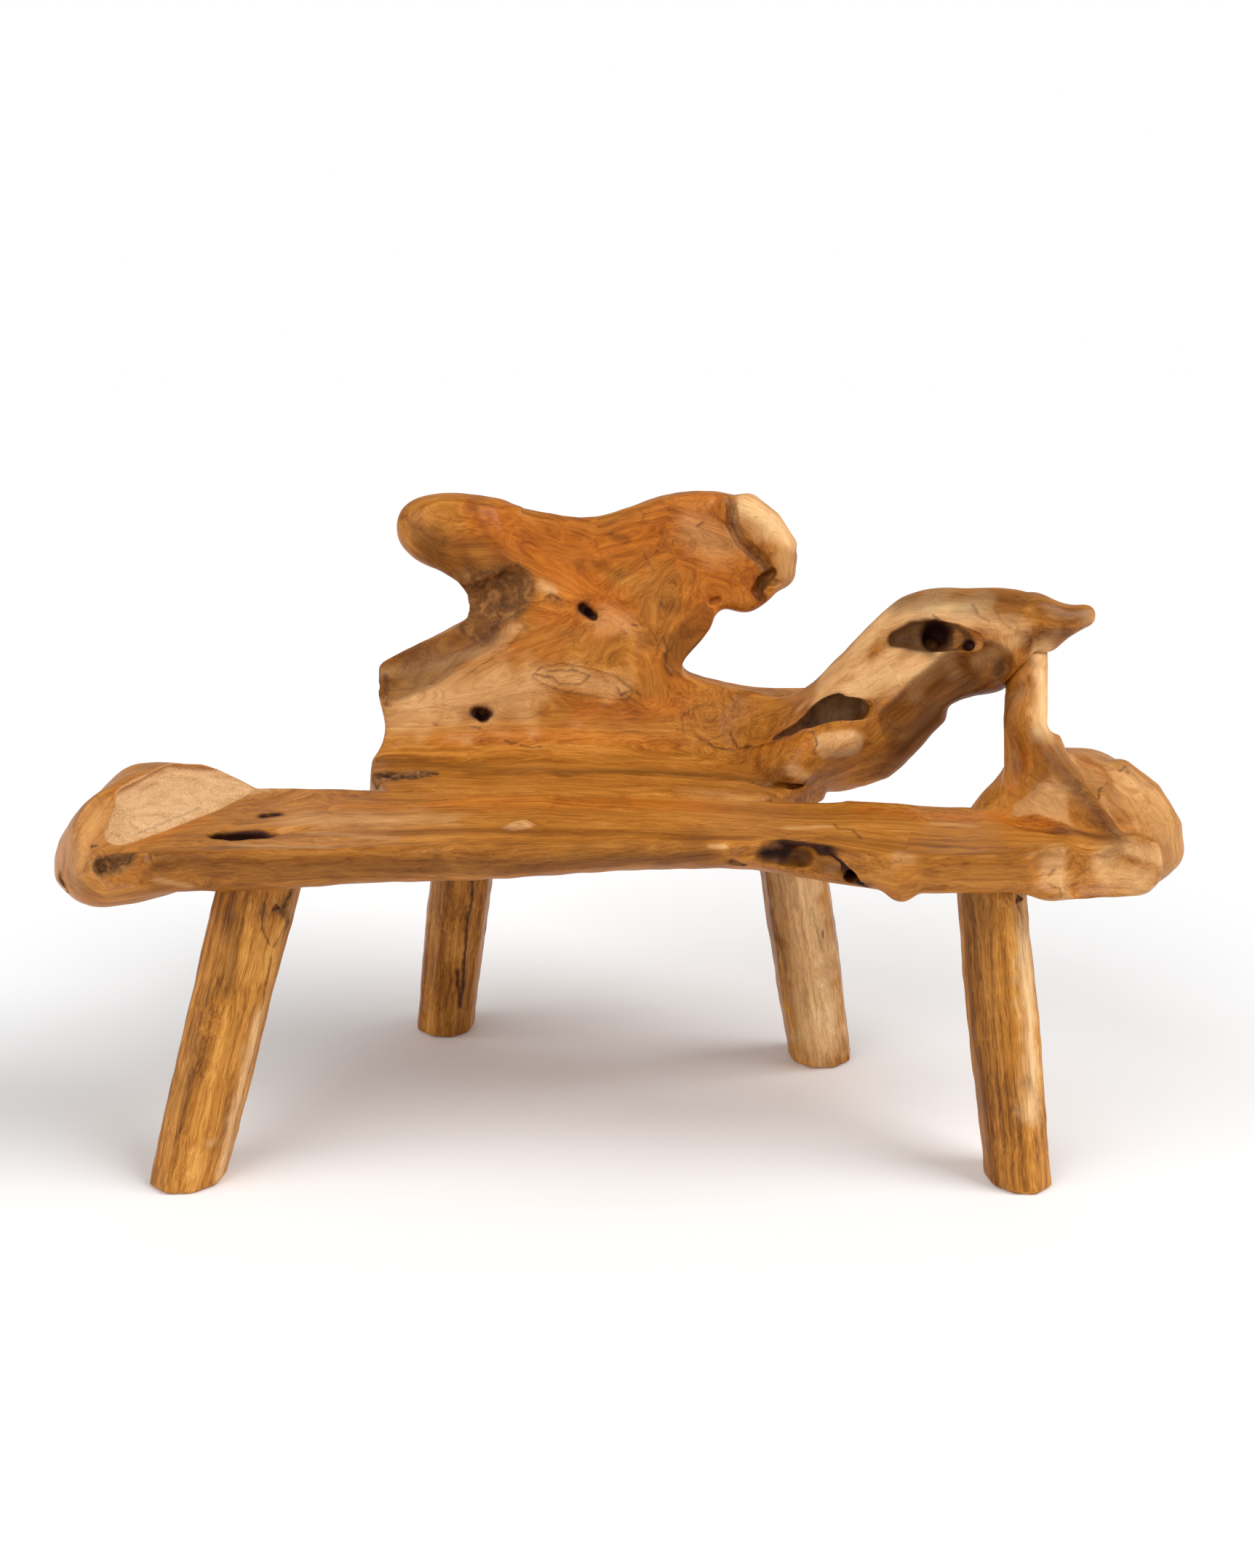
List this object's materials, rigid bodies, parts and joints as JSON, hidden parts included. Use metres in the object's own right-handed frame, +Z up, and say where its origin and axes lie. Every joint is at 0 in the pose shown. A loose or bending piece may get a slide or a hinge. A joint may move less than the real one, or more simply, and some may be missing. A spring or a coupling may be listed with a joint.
{
  "type": "rustic log bench",
  "caption": "Rustic garden bench hewn from root wood, with a plank seat, a free-form carved back, one arm on a flared post, and splayed log legs.",
  "frame": {"origin": "on the floor, under the middle of the bench's outer box", "axes": "+X towards the arm's end, along the bench; +Y to the back; +Z up"},
  "size_m": [1.54, 0.6836, 0.872],
  "materials": {
    "varnished_wood": "satin varnish over figured teak root wood",
    "leg_wood": "satin varnish over hewn teak",
    "joinery_wood": "bare hardwood",
    "screw_steel": "rusted steel"
  },
  "bodies": {
    "root": {"seat_slab": "varnished_wood", "back_root": "varnished_wood", "leg_front_left": "leg_wood", "leg_front_right": "leg_wood", "leg_rear_left": "leg_wood", "leg_rear_right": "leg_wood", "leg_wedge_front_left": "joinery_wood", "leg_wedge_front_right": "joinery_wood", "leg_wedge_rear_left": "joinery_wood", "leg_wedge_rear_right": "joinery_wood", "leg_screw_front_left": "screw_steel", "leg_screw_front_right": "screw_steel", "leg_screw_rear_left": "screw_steel", "leg_screw_rear_right": "screw_steel", "back_dowel_left": "joinery_wood", "back_dowel_middle": "joinery_wood", "back_dowel_right": "joinery_wood", "back_screw_left": "screw_steel", "back_screw_right": "screw_steel", "post_dowel": "joinery_wood", "post_screw": "screw_steel"}
  },
  "joints": []
}
